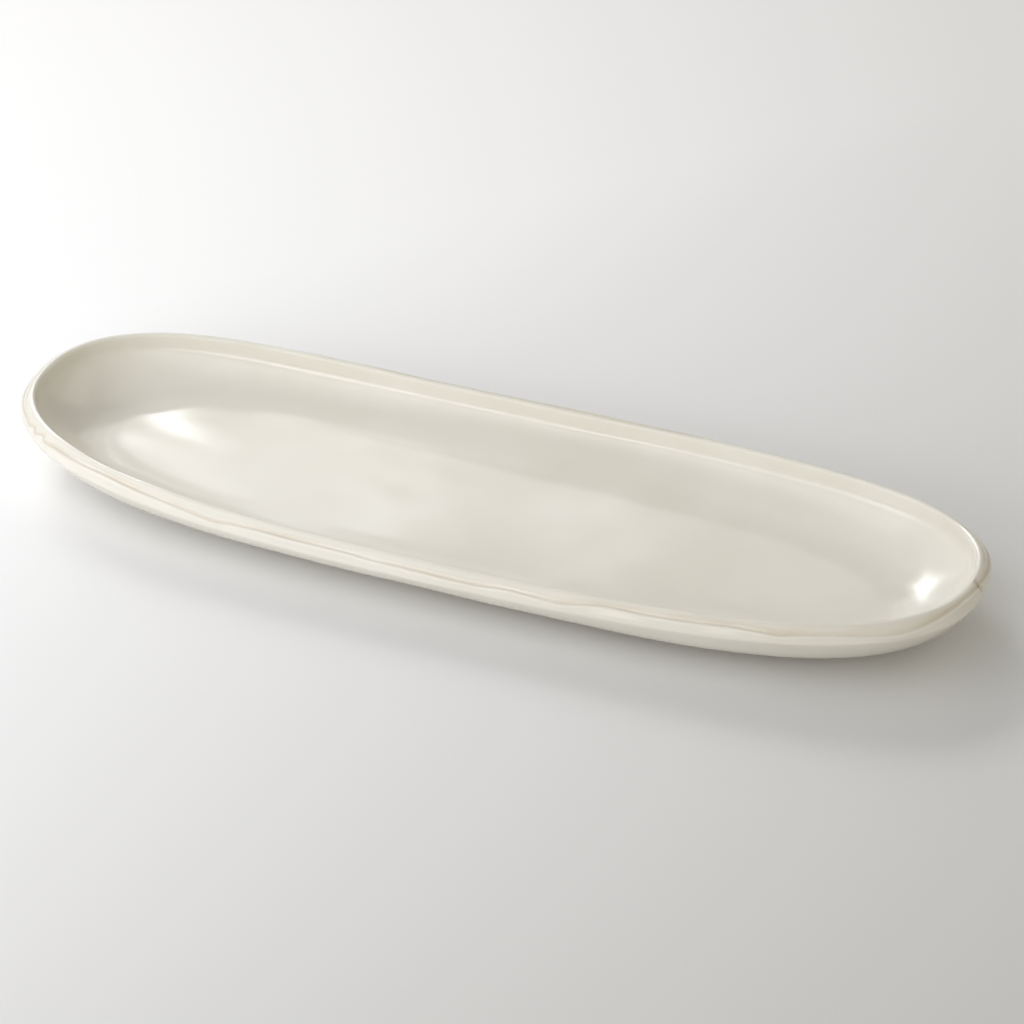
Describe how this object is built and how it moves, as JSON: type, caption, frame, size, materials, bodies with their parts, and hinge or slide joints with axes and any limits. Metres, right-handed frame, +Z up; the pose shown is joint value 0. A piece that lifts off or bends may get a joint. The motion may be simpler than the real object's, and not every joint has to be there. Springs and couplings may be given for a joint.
{
  "type": "oval serving dish",
  "caption": "Long shallow oval serving dish in hand-built stoneware, with a rounded lip, a wavy luted seam under it, raised ends, a foot ring and a glossy ivory glaze.",
  "frame": {"origin": "on the table, under the middle of the dish", "axes": "+X along the dish towards its slightly narrower end, +Y across it, +Z up"},
  "size_m": [0.4995, 0.166, 0.04],
  "materials": {
    "clay": "bare fired buff stoneware",
    "foot_clay": "bare stoneware, rubbed smooth",
    "glaze": "glossy ivory glaze, thinner and tan along the seam"
  },
  "bodies": {
    "root": {"basin": "clay", "rim_band_back": "clay", "rim_band_front": "clay", "foot_ring": "foot_clay", "glaze_coat": "glaze"}
  },
  "joints": []
}
